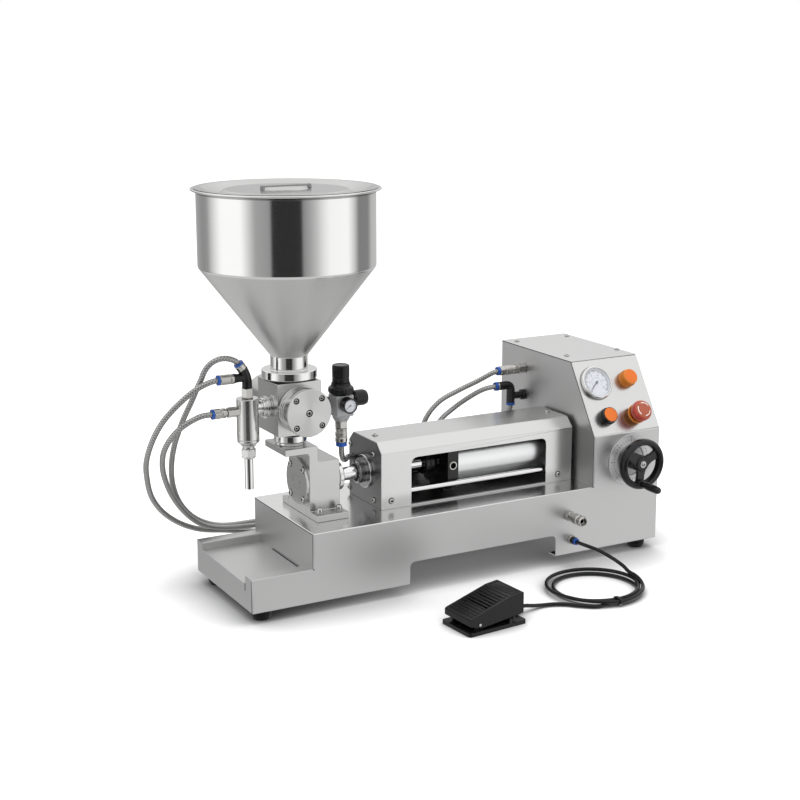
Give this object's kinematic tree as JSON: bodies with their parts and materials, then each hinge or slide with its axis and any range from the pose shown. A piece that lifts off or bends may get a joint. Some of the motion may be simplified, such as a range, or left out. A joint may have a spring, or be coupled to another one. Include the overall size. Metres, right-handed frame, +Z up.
{
  "type": "piston paste filling machine",
  "caption": "Pneumatic piston filler with a conical hopper, rotary valve, filling nozzle, see-through piston housing, control cabinet with handwheel, and a foot pedal on a hose.",
  "frame": {"origin": "on the bench, under the middle of the box around the machine and its pedal, hoses left out", "axes": "+X from the filling end to the control end, +Y from the front to the back, +Z up"},
  "size_m": [0.9715, 0.5549, 0.7321],
  "materials": {
    "brushed_sheet": "brushed stainless sheet, fine grain",
    "polished_steel": "polished stainless steel",
    "machined_steel": "fine machined stainless steel",
    "chromed_rod": "hard chromed, mirror smooth",
    "aluminium_tube": "anodised, satin",
    "aluminium_body": "cast and anodised, satin",
    "black_plastic": "moulded, satin black",
    "grey_black_metal": "painted black, fine texture",
    "black_rubber": "moulded rubber, matt",
    "white_seal": "food safe seal, matt",
    "nickel": "nickel plated brass, bright",
    "braided_hose": "grey tube with a braid, satin",
    "orange_plastic": "orange, glossy",
    "red_plastic": "dark red, glossy"
  },
  "bodies": {
    "machine": {"base_frame": "brushed_sheet", "cabinet_top": "brushed_sheet", "cabinet_back": "brushed_sheet", "foot_front_left": "black_rubber", "foot_front_right": "black_rubber", "foot_back_left": "black_rubber", "foot_back_right": "black_rubber", "piston_block": "machined_steel", "chamber_cover": "machined_steel", "chamber_flange": "polished_steel", "valve_body": "machined_steel", "valve_cover": "machined_steel", "valve_actuator": "machined_steel", "valve_collar": "polished_steel", "hopper": "polished_steel", "hopper_gasket": "white_seal", "nozzle_body": "polished_steel", "nozzle_spout": "polished_steel", "nozzle_tee": "black_plastic", "housing_cover": "brushed_sheet", "housing_frame": "brushed_sheet", "rod_gland": "machined_steel", "guide_rod_front": "chromed_rod", "guide_rod_rear": "chromed_rod", "cylinder_front_cap": "black_plastic", "cylinder_barrel": "aluminium_tube", "regulator_body": "aluminium_body", "regulator_gauge": "black_plastic", "gauge_case": "chromed_rod", "dial_ring": "machined_steel", "inlet_socket": "nickel", "pedal_port": "black_plastic", "side_fitting_straight": "nickel", "side_fitting_tee": "black_plastic", "pedal_base": "grey_black_metal", "nozzle_hose_upper": "braided_hose", "nozzle_hose_middle": "braided_hose", "nozzle_hose_lower": "braided_hose", "regulator_hose": "braided_hose", "pedal_hose_lead": "black_rubber", "pedal_hose_coil": "black_rubber", "pedal_hose_tail": "black_rubber"},
    "lid": {"lid": "polished_steel"},
    "valve_rotor": {"valve_rotor": "polished_steel"},
    "needle": {"nozzle_needle": "polished_steel"},
    "pistons": {"material_piston": "white_seal", "piston_rod": "chromed_rod", "rod_coupling": "black_plastic", "air_piston": "aluminium_body"},
    "handwheel": {"handwheel": "black_plastic"},
    "handle": {"handwheel_handle": "black_plastic"},
    "start_button": {"start_button": "orange_plastic"},
    "power_button": {"power_button": "orange_plastic"},
    "stop_button": {"stop_button": "red_plastic"},
    "regulator_knob": {"regulator_knob": "black_plastic"},
    "regulator_side_knob": {"regulator_side_knob": "black_plastic"},
    "gauge_needle": {"gauge_needle": "black_plastic"},
    "regulator_gauge_needle": {"regulator_gauge_needle": "black_plastic"},
    "treadle": {"pedal_treadle": "grey_black_metal"},
    "inlet_sleeve": {"inlet_sleeve": "nickel"}
  },
  "joints": [
    {"name": "lid_lift", "type": "slide", "parent": "machine", "child": "lid", "axis": [0, 0, 1], "range_m": [0, 0.25]},
    {"name": "valve_turn", "type": "hinge", "parent": "machine", "child": "valve_rotor", "pos_m": [-0.2812, 0.0753, 0.347], "axis": [0, 1, 0], "range_deg": [0, 90]},
    {"name": "needle_lift", "type": "slide", "parent": "machine", "child": "needle", "axis": [0, 0, 1], "range_m": [0, 0.005], "stiffness_N_per_m": 800, "springref_m": -0.002},
    {"name": "piston_stroke", "type": "slide", "parent": "machine", "child": "pistons", "axis": [1, 0, 0], "range_m": [-0.05, 0]},
    {"name": "handwheel_turn", "type": "hinge", "parent": "machine", "child": "handwheel", "pos_m": [0.3758, -0.0817, 0.188], "axis": [0, 1, 0], "continuous": true},
    {"name": "handle_spin", "type": "hinge", "parent": "handwheel", "child": "handle", "pos_m": [0.37241, -0.1217, 0.15015], "axis": [0, 1, 0], "continuous": true},
    {"name": "start_press", "type": "slide", "parent": "machine", "child": "start_button", "axis": [0, 0.8447, -0.5352], "range_m": [0, 0.003], "stiffness_N_per_m": 400},
    {"name": "power_press", "type": "slide", "parent": "machine", "child": "power_button", "axis": [0, 0.8447, -0.5352], "range_m": [0, 0.003], "stiffness_N_per_m": 400},
    {"name": "stop_press", "type": "slide", "parent": "machine", "child": "stop_button", "axis": [0, 0.8447, -0.5352], "range_m": [0, 0.004], "stiffness_N_per_m": 800},
    {"name": "regulator_turn", "type": "hinge", "parent": "machine", "child": "regulator_knob", "pos_m": [-0.1912, 0.0533, 0.397], "axis": [0, 0, 1], "range_deg": [-720, 720]},
    {"name": "side_knob_turn", "type": "hinge", "parent": "machine", "child": "regulator_side_knob", "pos_m": [-0.1552, 0.0533, 0.349], "axis": [1, 0, 0], "range_deg": [-720, 720]},
    {"name": "gauge_reading", "type": "hinge", "parent": "machine", "child": "gauge_needle", "pos_m": [0.3298, 0.00027, 0.33437], "axis": [0, 0.8447, -0.5352], "range_deg": [0, 270]},
    {"name": "regulator_reading", "type": "hinge", "parent": "machine", "child": "regulator_gauge_needle", "pos_m": [-0.1912, 0.0173, 0.345], "axis": [0, 1, 0], "range_deg": [0, 270]},
    {"name": "treadle_press", "type": "hinge", "parent": "machine", "child": "treadle", "pos_m": [-0.09956, -0.23387, 0.017], "axis": [-0.0869, 0.9962, 0], "range_deg": [0, 5], "stiffness_Nm_per_rad": 20, "springref_deg": -2.86},
    {"name": "sleeve_pull", "type": "slide", "parent": "machine", "child": "inlet_sleeve", "axis": [0, 1, 0], "range_m": [0, 0.004], "stiffness_N_per_m": 500}
  ]
}
